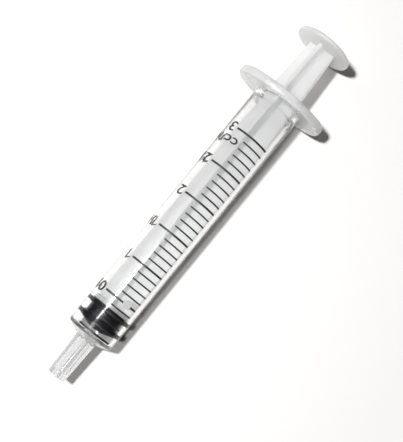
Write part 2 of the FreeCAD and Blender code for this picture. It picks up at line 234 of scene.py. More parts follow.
class StageSettings(bpy.types.PropertyGroup):
    """Camera, floor and lamps."""
    eye_along: size("Camera station", "Station that the camera stands over", 22.70)
    eye_up: size("Camera height", "Height of the camera over the axis", 184.17)
    aim_along: size("Aim station", "Station on the camera's optical axis", 33.27)
    aim_across: bpy.props.FloatProperty(name="Aim across", description="Offset of that point, across",
                                        default=-10.48 * MM, subtype="DISTANCE", unit="LENGTH")
    roll: angle("Roll", "Angle of the syringe in the picture", 50.93)
    lens: number("Lens", "Focal length for a 36 mm sensor", 74.34)
    rise: number("Rise", "Vertical shift of the lens", 0.1327)
    lamp_along: size("Lamp station", "Station that the key lamp stands over", 4.0)
    lamp_across: size("Lamp across", "Offset of the key lamp to the upper side", 107.0)
    lamp_up: size("Lamp height", "Height of the key lamp over the axis", 330.0)
    lamp_width: size("Lamp width", "Diameter of the key lamp", 32.0)
    lamp_light: number("Lamp light", "Light that the key lamp brings", 3.9)
    window_rise: angle("Window rise", "Height of the window over the floor", 51.0)
    window_spread: angle("Window spread", "Angular width of the window", 12.0)
    window_power: number("Window strength", "Strength of the window", 0.07)
    fill_rise: angle("Fill rise", "Height of the side fill over the floor", 35.0)
    fill_spread: angle("Fill spread", "Angular width of the side fill", 40.0)
    fill_power: number("Fill strength", "Strength of the side fill", 0.2)
    clear_floor: share("Floor through plastic", "How evenly bright it looks through plastic", 0.1)
    plain_from: size("Plain from", "Distance at which the floor starts to fade to plain white", 58.0)
    plain_to: size("Plain to", "Distance from which the floor is plain white", 105.0)
    sky: share("Sky", "Brightness of the room around", 0.03)
    floor: colour("Floor", "Colour of the floor", (0.935, 0.92, 0.905))


GROUPS = {
    "barrel_sizes": BarrelSizes,
    "stopper_sizes": StopperSizes,
    "rod_sizes": RodSizes,
    "print_sizes": PrintSizes,
    "finishes": Finishes,
    "stage_settings": StageSettings,
}

ROUND_STEP = math.radians(15)
SMOOTH_LIMIT = math.radians(32)
COLUMNS = 192
GLINT_COLUMNS = 48


def rounded(corners, closed=True):
    """Points of an outline whose corners, each (station, radius, rounding), become arcs."""
    points = []
    last = len(corners) - 1
    for i, (x, y, rounding) in enumerate(corners):
        corner = Vector((x, y))
        if not rounding or (not closed and i in (0, last)):
            points.append(corner)
            continue
        back = (Vector(corners[i - 1][:2]) - corner).normalized()
        ahead = (Vector(corners[(i + 1) % len(corners)][:2]) - corner).normalized()
        half = back.angle(ahead) / 2
        centre = corner + (back + ahead).normalized() * rounding / math.sin(half)
        setback = rounding / math.tan(half)
        first = (corner + back * setback - centre).normalized()
        final = (corner + ahead * setback - centre).normalized()
        steps = max(2, math.ceil((math.pi - 2 * half) / ROUND_STEP))
        points += [centre + rounding * first.slerp(final, k / steps) for k in range(steps + 1)]
    return [tuple(point) for point in points]


def new_object(name, mesh):
    thing = bpy.data.objects.new(name, mesh)
    bpy.context.scene.collection.objects.link(thing)
    return thing


def mesh_from(name, verts, faces):
    """A closed mesh with its faces pointing outwards."""
    mesh = bpy.data.meshes.new(name)
    mesh.from_pydata(verts, [], faces)
    work = bmesh.new()
    work.from_mesh(mesh)
    bmesh.ops.recalc_face_normals(work, faces=work.faces)
    work.to_mesh(mesh)
    work.free()
    return mesh


def turned(name, rings, columns=COLUMNS, closed=True):
    """Turns rings about the axis. A ring is (station, radius) or (station, radius at an angle)."""
    verts, faces, rows = [], [], []
    for x, radius in rings:
        if not callable(radius) and radius < 1e-9:
            rows.append([len(verts)])
            verts.append((x, 0.0, 0.0))
            continue
        rows.append(list(range(len(verts), len(verts) + columns)))
        for k in range(columns):
            turn = 2 * math.pi * k / columns
            r = radius(turn) if callable(radius) else radius
            verts.append((x, r * math.sin(turn), r * math.cos(turn)))
    pairs = list(zip(rows, rows[1:]))
    if closed:
        pairs.append((rows[-1], rows[0]))
    for near, far in pairs:
        for k in range(columns):
            after = (k + 1) % columns
            face = list(dict.fromkeys((near[k % len(near)], near[after % len(near)],
                                       far[after % len(far)], far[k % len(far)])))
            if len(face) > 2:
                faces.append(face)
    return mesh_from(name, verts, faces)


def revolved(name, corners, columns=COLUMNS):
    """A body turned from an outline that starts and ends on the axis."""
    return turned(name, rounded(corners), columns, closed=False)


def smooth(mesh):
    """Shades a mesh smooth, apart from its sharp edges."""
    mesh.shade_smooth()
    mesh.set_sharp_from_angle(angle=SMOOTH_LIMIT)


def finished(name, mesh, material, body, slot, *replaced):
    """Lays a mesh in its place and hands the piece to the frame."""
    mesh.transform(LYING)
    if material is not None:
        mesh.materials.append(material)
    piece = new_object(name, mesh)
    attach(piece, body)
    if replaced:
        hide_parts(*replaced)
    return piece


# Materials

MARKS_PER_METRE = 0.1 / MM
GRAIN_SHARE = 0.12
MASK_LOW, MASK_HIGH = 0.3, 0.7
AXIS_BLEND = 0.5 * MM
MILK_DEPTH = 8.0 * MM
FIRST_BOUNCE = 0.5


def node(tree, kind, **inputs):
    """A shader or geometry node with some of its sockets set or linked."""
    made = tree.nodes.new(kind)
    for name, value in inputs.items():
        connect(tree, value, made.inputs[name.replace("_", " ")])
    return made


def connect(tree, value, socket):
    if isinstance(value, bpy.types.NodeSocket):
        tree.links.new(value, socket)
    else:
        socket.default_value = value


def sockets(tree, in_out, kind, *labels):
    """Gives a node group sockets of one kind."""
    for label in labels:
        tree.interface.new_socket(label, in_out=in_out, socket_type="NodeSocket" + kind)


def object_place(tree):
    return tree.nodes.new("ShaderNodeTexCoord").outputs["Object"]


def maths(tree, operation, *values, kind="ShaderNodeMath"):
    """The result of a maths node whose first sockets are set or linked."""
    made = tree.nodes.new(kind)
    made.operation = operation
    for socket, value in zip(made.inputs, values):
        connect(tree, value, socket)
    return made.outputs[0]


def mixed(tree, share_of_second, first, second):
    """Two shaders in one."""
    mix = node(tree, "ShaderNodeMixShader", Fac=share_of_second)
    tree.links.new(first, mix.inputs[1])
    tree.links.new(second, mix.inputs[2])
    return mix.outputs[0]


def rgba(values):
    return (*values, 1.0)


def moulding_group():
    """Slow waviness and fine grain of a moulded surface, as a height and a mask."""
    name = "Moulding marks"
    if name in bpy.data.node_groups:
        return bpy.data.node_groups[name]
    tree = bpy.data.node_groups.new(name, "ShaderNodeTree")
    sockets(tree, "INPUT", "Float", "Stretch", "Wave size", "Grain size")
    sockets(tree, "OUTPUT", "Float", "Height", "Mask")
    entry = tree.nodes.new("NodeGroupInput").outputs
    along = maths(tree, "DIVIDE", 1.0, entry["Stretch"])
    scale = node(tree, "ShaderNodeCombineXYZ", X=along, Y=1.0, Z=1.0).outputs[0]
    stretched = maths(tree, "MULTIPLY", object_place(tree), scale, kind="ShaderNodeVectorMath")
    enlarged = maths(tree, "MULTIPLY", stretched, (MARKS_PER_METRE,) * 3, kind="ShaderNodeVectorMath")
    wave = node(tree, "ShaderNodeTexNoise", Vector=enlarged, Scale=entry["Wave size"],
                Detail=1.0).outputs["Fac"]
    grain = node(tree, "ShaderNodeTexNoise", Vector=enlarged, Scale=entry["Grain size"],
                 Detail=2.0).outputs["Fac"]
    node(tree, "NodeGroupOutput", Mask=wave,
         Height=maths(tree, "MULTIPLY_ADD", grain, GRAIN_SHARE, wave))
    return tree


def moulding_marks(tree, stretch, wave, grain):
    marks = tree.nodes.new("ShaderNodeGroup")
    marks.node_tree = moulding_group()
    marks.inputs["Stretch"].default_value = stretch
    marks.inputs["Wave size"].default_value = wave
    marks.inputs["Grain size"].default_value = grain
    return marks


def new_material(name):
    """An empty node material and its output node."""
    made = bpy.data.materials.new(name)
    made.use_nodes = True
    made.node_tree.nodes.clear()
    return made, made.node_tree, made.node_tree.nodes.new("ShaderNodeOutputMaterial")


def varied(tree, mask, base, other):
    """A colour that drifts from one tone to another with a mask."""
    mix = tree.nodes.new("ShaderNodeMix")
    mix.data_type = "RGBA"
    tree.links.new(mask, mix.inputs["Factor"])
    mix.inputs[6].default_value = rgba(base)
    mix.inputs[7].default_value = rgba(other)
    return mix.outputs[2]


def ranged(tree, mask, low, high):
    """A value that runs from low to high with a mask."""
    return node(tree, "ShaderNodeMapRange", Value=mask, From_Min=MASK_LOW, From_Max=MASK_HIGH,
                To_Min=low, To_Max=high).outputs["Result"]


def light_path(tree):
    return tree.nodes.new("ShaderNodeLightPath").outputs


def let_light_through(tree, shader, upper, lower):
    """Plain straight passage for the light that the camera doesn't see directly.

    The lamps' light loses more in the lower half of the moulding than in the
    upper, and light that has bounced off something loses an even share.
    """
    parts = node(tree, "ShaderNodeSeparateXYZ", Vector=object_place(tree))
    axis_height = TIP_END.z + station(Vector((0, 0, 0))) * ALONG.z
    side = node(tree, "ShaderNodeMapRange", Value=parts.outputs["Z"],
                From_Min=axis_height - AXIS_BLEND, From_Max=axis_height + AXIS_BLEND,
                To_Min=lower, To_Max=upper)
    rays = light_path(tree)
    scattered = maths(tree, "GREATER_THAN", rays["Diffuse Depth"], FIRST_BOUNCE)
    bounced = bpy.context.scene.finishes.bounced_light
    even = maths(tree, "MULTIPLY", maths(tree, "SUBTRACT", 1.0, rays["Is Shadow Ray"]), bounced)
    lamps = maths(tree, "MULTIPLY", side.outputs["Result"], rays["Is Shadow Ray"])
    straight = node(tree, "ShaderNodeBsdfTransparent", Color=maths(tree, "ADD", even, lamps))
    unseen = maths(tree, "MAXIMUM", rays["Is Shadow Ray"], scattered)
    return mixed(tree, unseen, shader, straight.outputs[0])


def only_shadows_pass(tree, shader, passing):
    """Lets a share of the lamps' light through each surface of a cloudy moulding."""
    straight = node(tree, "ShaderNodeBsdfTransparent", Color=rgba([passing] * 3))
    return mixed(tree, light_path(tree)["Is Shadow Ray"], shader, straight.outputs[0])


def moulding(name, marks, base, drift, gloss, relief, passage, **inputs):
    """A moulded or printed material whose tone, gloss and height drift a little.

    The marks are their stretch, wave size and grain size, the drift is how
    bright the other tone is, the gloss is its two roughnesses, and the passage
    is a function and its values that let light through, or nothing.
    """
    made, tree, output = new_material(name)
    marks = moulding_marks(tree, *marks).outputs
    height = node(tree, "ShaderNodeBump", Height=marks["Height"], Distance=relief, Strength=1.0)
    shader = node(tree, "ShaderNodeBsdfPrincipled",
                  Base_Color=varied(tree, marks["Mask"], base, [drift * part for part in base]),
                  Roughness=ranged(tree, marks["Mask"], *gloss),
                  Normal=height.outputs["Normal"], **inputs).outputs[0]
    if passage:
        let_pass, *values = passage
        shader = let_pass(tree, shader, *values)
    tree.links.new(shader, output.inputs["Surface"])
    return made


def clear_plastic(name, upper, lower):
    """The clear tube. Its outer surface is the one that takes light from the shadow."""
    look = bpy.context.scene.finishes
    return moulding(name, marks=(12.0, 1.6, 30.0), base=look.clear, drift=0.97,
                    gloss=(look.clear_gloss, look.clear_gloss * 1.6), relief=0.012 * MM,
                    passage=(let_light_through, upper, lower),
                    IOR=look.index, Transmission_Weight=1.0)


def cloudy_plastic(name, base, clearness, roughness, upper, lower):
    """Thicker stretches of the same moulding, where its haze shows."""
    return moulding(name, marks=(2.0, 3.0, 40.0), base=base, drift=0.93,
                    gloss=(roughness, roughness * 1.4), relief=0.03 * MM,
                    passage=(let_light_through, upper, lower),
                    IOR=bpy.context.scene.finishes.index, Transmission_Weight=clearness)


def milky_plastic(name, base, passing):
    """A translucent white plastic."""
    look = bpy.context.scene.finishes
    return moulding(name, marks=(4.0, 2.0, 50.0), base=base, drift=0.94,
                    gloss=(look.milky_gloss, look.milky_gloss * 1.3), relief=0.02 * MM,
                    passage=(only_shadows_pass, passing), IOR=look.index, Subsurface_Weight=1.0,
                    Subsurface_Radius=(1.0, 1.0, 1.0), Subsurface_Scale=MILK_DEPTH)


def black_rubber():
    """Smooth black rubber with a film of oil."""
    return moulding("stopper_rubber", marks=(1.0, 4.0, 60.0), base=bpy.context.scene.finishes.rubber,
                    drift=1.6, gloss=(0.45, 0.55), relief=0.015 * MM, passage=None,
                    Specular_IOR_Level=0.08)


def black_ink():
    """Printed ink, a little uneven and slightly glossy."""
    if "scale_ink" in bpy.data.materials:
        return bpy.data.materials["scale_ink"]
    return moulding("scale_ink", marks=(1.0, 8.0, 80.0), base=bpy.context.scene.finishes.ink,
                    drift=2.0, gloss=(0.4, 0.6), relief=0.004 * MM,
                    passage=(only_shadows_pass, 0.9))


# The barrel

TIP_EDGE, TIP_FOOT = 0.28 * MM, 0.45 * MM
REAR_FACE, LEAD_ROUND = 1.0 * MM, 0.06 * MM
CONE_REAR, CONE_FRONT = 0.5 * MM, 0.3 * MM
MOUTH_CONE, MOUTH_ROUND, MOUTH_BEVEL = 0.25 * MM, 0.1 * MM, 0.08 * MM
PART_WAY = 0.3
RIM_STEPS = 6


def oval_radius(sizes, turn, inset):
    """How far the flange's outline, drawn in by an inset, is from the axis at an angle."""
    half_length = sizes.flange_length / 2
    half_height = sizes.flange_height / 2
    end = sizes.flange_end
    centre = half_length - end
    side = (centre ** 2 + half_height ** 2 - end ** 2) / (2 * (half_height - end))
    drop = side - half_height
    across, up = abs(math.sin(turn)), abs(math.cos(turn))

    def far_hit(middle_across, middle_up, radius):
        toward = middle_across * across + middle_up * up
        return toward + math.sqrt(radius ** 2 - middle_across ** 2 - middle_up ** 2 + toward ** 2)

    if radius_in_reach(centre, end - inset, across, up):
        hit = far_hit(centre, 0.0, end - inset)
        if math.atan2(hit * up, hit * across - centre) <= math.atan2(drop, centre):
            return hit
    return far_hit(0.0, -drop, side - inset)


def radius_in_reach(centre, radius, across, up):
    """Whether a line from the axis at that slope meets the end arc's circle."""
    return radius ** 2 - (centre * up) ** 2 >= 0 and (across > 0 or centre < radius)


def barrel_rings(sizes):
    """The rings of the barrel, along the outside and back through the bore."""
    shoulder = sizes.tip_length
    tube = shoulder + sizes.shoulder_depth
    rise = (sizes.front_tube - sizes.tip_root) / 2
    inner_cone = shoulder + sizes.shoulder_wall
    cone_front = inner_cone - sizes.shoulder_depth * (sizes.tip_root - sizes.passage) / 2 / rise
    cone_rear = inner_cone + sizes.shoulder_depth * (1 - (sizes.front_tube - sizes.bore) / 2 / rise)
    ring = BARREL_REAR - sizes.ring_from_end - sizes.ring_land - 2 * sizes.ring_slope
    bore = sizes.bore / 2
    root = sizes.flange_root
    outside = rounded([
        (0.0, sizes.mouth / 2, 0.0),
        (0.0, sizes.tip_end / 2, TIP_EDGE),
        (shoulder, sizes.tip_root / 2, TIP_FOOT),
        (tube, sizes.front_tube / 2, sizes.shoulder_round),
        (tube + PART_WAY * (FLANGE_FRONT - tube),
         sizes.front_tube / 2 + PART_WAY / 2 * (sizes.rear_tube - sizes.front_tube), 0.0),
        (FLANGE_FRONT, sizes.rear_tube / 2, root),
        (FLANGE_FRONT, sizes.rear_tube / 2 + root, 0.0),
    ], closed=False)
    rim = [(x, oval_ring(sizes, inset)) for x, inset in rim_points(sizes)]
    inside = rounded([
        (BARREL_REAR, bore + REAR_FACE, 0.0),
        (BARREL_REAR, bore + sizes.lead_in, LEAD_ROUND),
        (BARREL_REAR - sizes.lead_in, bore, LEAD_ROUND),
        (ring + 2 * sizes.ring_slope + sizes.ring_land, bore, sizes.ring_round),
        (ring + sizes.ring_slope + sizes.ring_land, bore - sizes.ring_height, sizes.ring_round),
        (ring + sizes.ring_slope, bore - sizes.ring_height, sizes.ring_round),
        (ring, bore, sizes.ring_round),
        (cone_rear, bore, CONE_REAR),
        (cone_front, sizes.passage / 2, CONE_FRONT),
        (sizes.mouth_length + MOUTH_CONE, sizes.passage / 2, MOUTH_ROUND),
        (sizes.mouth_length, sizes.mouth / 2, 0.0),
        (MOUTH_BEVEL, sizes.mouth / 2, 0.0),
    ], closed=False)
    return outside + rim + inside


def rim_points(sizes):
    """Stations and insets round the flange's rim, from its front face to its rear face."""
    edge = sizes.flange_edge
    quarter = [k * math.pi / 2 / RIM_STEPS for k in range(RIM_STEPS + 1)]
    arc = [(edge * (1 - math.sin(turn)), edge * (1 - math.cos(turn))) for turn in quarter]
    front = [(FLANGE_FRONT + back, inset) for back, inset in reversed(arc)]
    return front + [(BARREL_REAR - back, inset) for back, inset in arc]


def oval_ring(sizes, inset):
    def radius(turn):
        return oval_radius(sizes, turn, inset)
    return radius


class SYRINGE_OT_barrel(bpy.types.Operator):
    """Build the clear barrel with its tip, shoulder and finger flange"""
    bl_idname = "syringe.barrel"
    bl_label = "Barrel"

    def execute(self, context):
        sizes = context.scene.barrel_sizes
        mesh = turned("barrel_body", barrel_rings(sizes))
        smooth(mesh)
        finishes = context.scene.finishes
        outside, bore, flange, tip = range(4)
        for material in (clear_plastic("clear_outside", finishes.upper_light, finishes.lower_light),
                         clear_plastic("clear_bore", upper=1.0, lower=1.0),
                         cloudy_plastic("cloudy_flange", finishes.cloudy, clearness=0.45,
                                        roughness=0.22, upper=0.2, lower=0.2),
                         cloudy_plastic("cloudy_tip", finishes.cloudy_tip, clearness=0.75,
                                        roughness=0.06, upper=0.9, lower=0.22)):
            mesh.materials.append(material)
        for face in mesh.polygons:
            outer = math.hypot(face.center.y, face.center.z) > sizes.bore / 2 + sizes.lead_in
            if face.center.x < sizes.tip_length + sizes.shoulder_depth:
                inward = face.normal.y * face.center.y + face.normal.z * face.center.z < 0
                face.material_index = bore if inward else tip
            elif not outer:
                face.material_index = bore
            else:
                face.material_index = flange if face.center.x > FLANGE_FRONT else outside
        finished("barrel_body", mesh, None, "barrel", "clear_plastic", "barrel")
        # A small raised dome on the tube, coloured whitish as a painted highlight.
        middle = tube_radius(sizes, sizes.glint_at)
        top = middle + sizes.glint_height
        bottom = middle - sizes.glint_height
        glint = revolved("glint_mark", [
            (bottom, 0.0, 0.0),
            (bottom, sizes.glint / 2, 0.0),
            (top, sizes.glint / 2, 0.9 * sizes.glint_height),
            (top, 0.0, 0.0),
        ], GLINT_COLUMNS)
        glint.transform(Matrix.Translation((sizes.glint_at, 0.0, 0.0))
                       @ Matrix.Rotation(sizes.glint_round, 4, "X")
                       @ Matrix.Rotation(-math.pi / 2, 4, "Y"))
        smooth(glint)
        # Painted highlight: a whitish milky colour where a bright glint shows on the tube.
        painted_glint = milky_plastic("milky_glint", finishes.glint, finishes.milky_light)
        finished("glint_mark", glint, painted_glint, "barrel", "clear_plastic")
        return {"FINISHED"}


# The stopper

NOSE_ROUND, NOSE_SHOULDER_ROUND = 0.6 * MM, 0.5 * MM
NOSE_SHOULDER_BACK, NOSE_SHOULDER_OUT = 0.25, 0.83
SOCKET_EDGE, SOCKET_ROUND = 0.1 * MM, 0.2 * MM


class SYRINGE_OT_stopper(bpy.types.Operator):
    """Build the rubber stopper with its two sealing ribs"""
    bl_idname = "syringe.stopper"
    bl_label = "Stopper"

    def execute(self, context):
        sizes = context.scene.stopper_sizes
        rod = context.scene.rod_sizes
        radius = context.scene.barrel_sizes.bore / 2 + sizes.squeeze
        seal = STOPPER_FRONT + sizes.nose_length
        waist = sizes.waist / 2
        lip = sizes.seal_round
        clearance = rod.push_gap
        socket = STOPPER_REAR + rod.push_gap - neck_length(rod) + clearance
        head_front = socket - clearance - rod.head_length - rod.head_taper
        mesh = revolved("stopper_rubber", [
            (STOPPER_FRONT + sizes.nose_sink, 0.0, 0.0),
            (STOPPER_FRONT + sizes.nose_sink, sizes.nose_flat / 2, NOSE_ROUND),
            (seal - NOSE_SHOULDER_BACK * sizes.nose_length, NOSE_SHOULDER_OUT * radius,
             NOSE_SHOULDER_ROUND),
            (seal, radius, lip),
            (seal + sizes.seal, radius, lip),
            (seal + sizes.seal, waist, lip / 2),
            (STOPPER_REAR - sizes.seal, waist, lip / 2),
            (STOPPER_REAR - sizes.seal, radius, lip),
            (STOPPER_REAR, radius, lip),
            (STOPPER_REAR, rod.neck / 2 + clearance, SOCKET_EDGE),
            (socket, rod.neck / 2 + clearance, 0.0),
            (socket, rod.head / 2 + clearance, SOCKET_EDGE),
            (socket - clearance - rod.head_length, rod.head / 2 + clearance, SOCKET_ROUND),
            (head_front - clearance, rod.head_front / 2 + clearance, SOCKET_ROUND),
            (head_front - clearance, 0.0, 0.0),
        ])
        smooth(mesh)
        finished("stopper_rubber", mesh, black_rubber(), "stopper", "black_rubber", "stopper")
        return {"FINISHED"}


# The plunger rod

ROD_ROUND, HEAD_REAR_ROUND, GRIP_ROUND = 0.15 * MM, 0.1 * MM, 0.08 * MM
CREST_SHARES = 0.7, 0.3
RIBS_SUNK = 0.3 * MM


def neck_length(rod):
    """From the rear of the head to the push disc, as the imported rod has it."""
    return STOPPER_REAR + rod.push_gap - ROD_FRONT - rod.head_length - rod.head_taper


def cross_section(rod, span):
    """The outline of the four ribs as (y, z) points, one rib after the other."""
    half = rod.rib / 2
    tip = span / 2
    corners = []
    for quarter in range(4):
        turn = Matrix.Rotation(-quarter * math.pi / 2, 2)
        for y, z, rounding in ((-half, tip, rod.rib_edge), (half, tip, rod.rib_edge),
                               (half, half, rod.rib_root)):
            corners.append((*(turn @ Vector((y, z))), rounding))
    return rounded(corners)


def rib_mesh(rod, front, rear):
    """The four ribs as one loft through a few sections, closed at both ends."""
    taper_start = rear - rod.taper
    verts, faces = [], []
    sections = [(front, rod.span), (taper_start, rod.span), (rear, rod.end_span)]
    for x, span in sections:
        verts += [(x, y, z) for y, z in cross_section(rod, span)]
    count = len(verts) // len(sections)
    for row in range(len(sections) - 1):
        for k in range(count):
            after = (k + 1) % count
            faces.append([line * count + corner for line, corner in
                          ((row, k), (row, after), (row + 1, after), (row + 1, k))])
    faces.append(tuple(range(count)))
    faces.append(tuple(range(len(verts) - count, len(verts))))
    return mesh_from("ribs", verts, faces)


def united(name, meshes):
    """One closed mesh out of several that run into each other."""
    things = [new_object(f"{name}_{i}", mesh) for i, mesh in enumerate(meshes)]
    for other in things[1:]:
        join = things[0].modifiers.new("join", "BOOLEAN")
        join.operation = "UNION"
        join.solver = "EXACT"
        join.object = other
    graph = bpy.context.evaluated_depsgraph_get()
    mesh = bpy.data.meshes.new_from_object(things[0].evaluated_get(graph))
    for thing in things:
        bpy.data.objects.remove(thing)
    if not mesh.polygons:
        raise RuntimeError(name + " came out empty")
    return mesh


class SYRINGE_OT_plunger_rod(bpy.types.Operator):
    """Build the plunger rod with its four ribs, neck and thumb disc"""
    bl_idname = "syringe.plunger_rod"
    bl_label = "Plunger rod"

    def execute(self, context):
        rod = context.scene.rod_sizes
        push_face = STOPPER_REAR + rod.push_gap
        rib_start = push_face + rod.push_disc
        head_rear = push_face - neck_length(rod)
        head_shoulder = head_rear - rod.head_length
        thumb_face = THUMB_REAR - rod.thumb_thickness
        front = revolved("rod_front", [
            (ROD_FRONT, 0.0, 0.0),
            (ROD_FRONT, rod.head_front / 2, ROD_ROUND),
            (head_shoulder, rod.head / 2, ROD_ROUND),
            (head_rear, rod.head / 2, HEAD_REAR_ROUND),
            (head_rear, rod.neck / 2, 0.0),
            (push_face, rod.neck / 2, 0.0),
            (push_face, rod.span / 2, ROD_ROUND),
            (rib_start, rod.span / 2, ROD_ROUND),
            (rib_start, 0.0, 0.0),
        ])
        disc_corners = [
            (thumb_face, 0.0, 0.0),
            (thumb_face, rod.thumb / 2, rod.thumb_edge),
            (THUMB_REAR, rod.thumb / 2, rod.thumb_edge),
        ]
        for ring in (1, 0):
            start = rod.grip / 2 + ring * rod.grip_pitch
            crest = THUMB_REAR + rod.grip_height
            outer, inner = (start + part * rod.grip_width for part in CREST_SHARES)
            disc_corners += [(x, radius, GRIP_ROUND) for x, radius in (
                (THUMB_REAR, start + rod.grip_width), (crest, outer),
                (crest, inner), (THUMB_REAR, start))]
        disc_corners.append((THUMB_REAR, 0.0, 0.0))
        disc = revolved("thumb_disc", disc_corners)
        ribs = rib_mesh(rod, rib_start - RIBS_SUNK, thumb_face + RIBS_SUNK)
        mesh = united("plunger_rod_body", [ribs, front, disc])
        mesh.transform(Matrix.Rotation(-rod.clock, 4, "X"))
        smooth(mesh)
        mesh.materials.clear()
        finishes = context.scene.finishes
        mesh.materials.append(milky_plastic("milky_ribs", finishes.milky, finishes.milky_light))
        mesh.materials.append(milky_plastic("milky_disc", finishes.milky, 0.0))
        for face in mesh.polygons:
            face.material_index = int(face.center.x > thumb_face)
        finished("plunger_rod_body", mesh, None, "plunger_rod", "white_plastic", "plunger_rod")
        return {"FINISHED"}


# The printed scale

PACKED_LINE = 0.38 * MM
LETTER_STEP = 0.25 * MM
SAME_PLACE = 1e-7
LINE_CUTS = 20


def tube_radius(barrel, x):
    """Outside radius of the tube at a station."""
    tube = barrel.tip_length + barrel.shoulder_depth
    share_along = (x - tube) / (FLANGE_FRONT - barrel.flange_root - tube)
    return (barrel.front_tube + (barrel.rear_tube - barrel.front_tube) * share_along) / 2


def scale_places(sizes):
    """The station of the zero line and the distance from line to line."""
    zero = PRINT_FRONT + PACKED_LINE / 2
    last = PRINT_REAR - PACKED_LINE / 2
    return zero, (last - zero) / (sizes.volume * sizes.divisions)


def line_group():
    """One scale line of radius 1: a thin box bent about the axis."""
    tree = bpy.data.node_groups.new("Scale line", "GeometryNodeTree")
    sockets(tree, "INPUT", "Float", "Width", "Low end", "High end", "Ink", "Bite")
    sockets(tree, "OUTPUT", "Geometry", "Line")
    entry = tree.nodes.new("NodeGroupInput").outputs
    box = node(tree, "GeometryNodeMeshCube", Vertices_X=2, Vertices_Y=LINE_CUTS, Vertices_Z=2,
               Size=(1.0, 1.0, 1.0))
    place = node(tree, "GeometryNodeInputPosition").outputs[0]
    parts = node(tree, "ShaderNodeSeparateXYZ", Vector=place)
    low, high = entry["Low end"], entry["High end"]
    middle = maths(tree, "MULTIPLY", maths(tree, "SUBTRACT", high, low), 0.5)
    turn = maths(tree, "MULTIPLY_ADD", parts.outputs["Y"], maths(tree, "ADD", low, high), middle)
    thickness = maths(tree, "ADD", entry["Ink"], entry["Bite"])
    lift = maths(tree, "MULTIPLY", maths(tree, "ADD", parts.outputs["Z"], 0.5), thickness)
    radius = maths(tree, "ADD", maths(tree, "SUBTRACT", lift, entry["Bite"]), 1.0)
    bent = node(tree, "ShaderNodeCombineXYZ",
                X=maths(tree, "MULTIPLY", parts.outputs["X"], entry["Width"]),
                Y=maths(tree, "MULTIPLY", radius, maths(tree, "SINE", turn)),
                Z=maths(tree, "MULTIPLY", radius, maths(tree, "COSINE", turn)))
    node(tree, "NodeGroupOutput",
         Line=node(tree, "GeometryNodeSetPosition", Geometry=box.outputs["Mesh"],
                   Position=bent.outputs[0]).outputs[0])
    return tree


def scale_tree():
    """Lines at equal steps along the tube, with a longer and wider one every so often."""
    tree = bpy.data.node_groups.new("Syringe scale", "GeometryNodeTree")
    tree.is_modifier = True
    sockets(tree, "INPUT", "Geometry", "Geometry")
    sockets(tree, "INPUT", "Int", "Lines", "Long every")
    sockets(tree, "INPUT", "Float", "Zero", "Pitch", "Radius", "Growth", "Ink", "Bite", "Low end",
            "Short width", "Short high end", "Long width", "Long high end")
    sockets(tree, "INPUT", "Material", "Finish")
    sockets(tree, "OUTPUT", "Geometry", "Geometry")
    entry = tree.nodes.new("NodeGroupInput").outputs
    leave = tree.nodes.new("NodeGroupOutput")
    row = node(tree, "GeometryNodeMeshLine", Count=entry["Lines"],
               Start_Location=node(tree, "ShaderNodeCombineXYZ", X=entry["Zero"]).outputs[0],
               Offset=node(tree, "ShaderNodeCombineXYZ", X=entry["Pitch"]).outputs[0])
    index = node(tree, "GeometryNodeInputIndex").outputs[0]
    is_long = maths(tree, "COMPARE", maths(tree, "MODULO", index, entry["Long every"]), 0.0, 0.1)
    is_short = maths(tree, "SUBTRACT", 1.0, is_long)
    along = maths(tree, "MULTIPLY", index, entry["Pitch"])
    radius = maths(tree, "MULTIPLY_ADD", along, entry["Growth"], entry["Radius"])
    scale = node(tree, "ShaderNodeCombineXYZ", X=1.0, Y=radius, Z=radius).outputs[0]
    shape = line_group()
    kinds = []
    for chosen, kind in ((is_short, "Short"), (is_long, "Long")):
        line = tree.nodes.new("GeometryNodeGroup")
        line.node_tree = shape
        connect(tree, entry[kind + " width"], line.inputs["Width"])
        connect(tree, entry[kind + " high end"], line.inputs["High end"])
        connect(tree, entry["Low end"], line.inputs["Low end"])
        for label in ("Ink", "Bite"):
            connect(tree, maths(tree, "DIVIDE", entry[label], entry["Radius"]), line.inputs[label])
        kinds.append(node(tree, "GeometryNodeInstanceOnPoints", Points=row.outputs["Mesh"],
                          Selection=chosen, Instance=line.outputs["Line"], Scale=scale))
    both = tree.nodes.new("GeometryNodeJoinGeometry")
    for kind in kinds:
        tree.links.new(kind.outputs[0], both.inputs[0])
    real = node(tree, "GeometryNodeRealizeInstances", Geometry=both.outputs[0])
    inked = node(tree, "GeometryNodeSetMaterial", Geometry=real.outputs[0], Material=entry["Finish"])
    tree.links.new(inked.outputs[0], leave.inputs[0])
    return tree


def mesh_from_tree(name, tree, values):
    """The plain mesh that a geometry tree makes from named values."""
    holder = new_object(name + "_holder", bpy.data.meshes.new(name + "_holder"))
    modifier = holder.modifiers.new(name, "NODES")
    modifier.node_group = tree
    for item in tree.interface.items_tree:
        if item.item_type == "SOCKET" and item.in_out == "INPUT" and item.name in values:
            modifier[item.identifier] = values[item.name]
    graph = bpy.context.evaluated_depsgraph_get()
    mesh = bpy.data.meshes.new_from_object(holder.evaluated_get(graph))
    holder.modifiers.remove(modifier)
    bpy.data.objects.remove(holder)
    return mesh


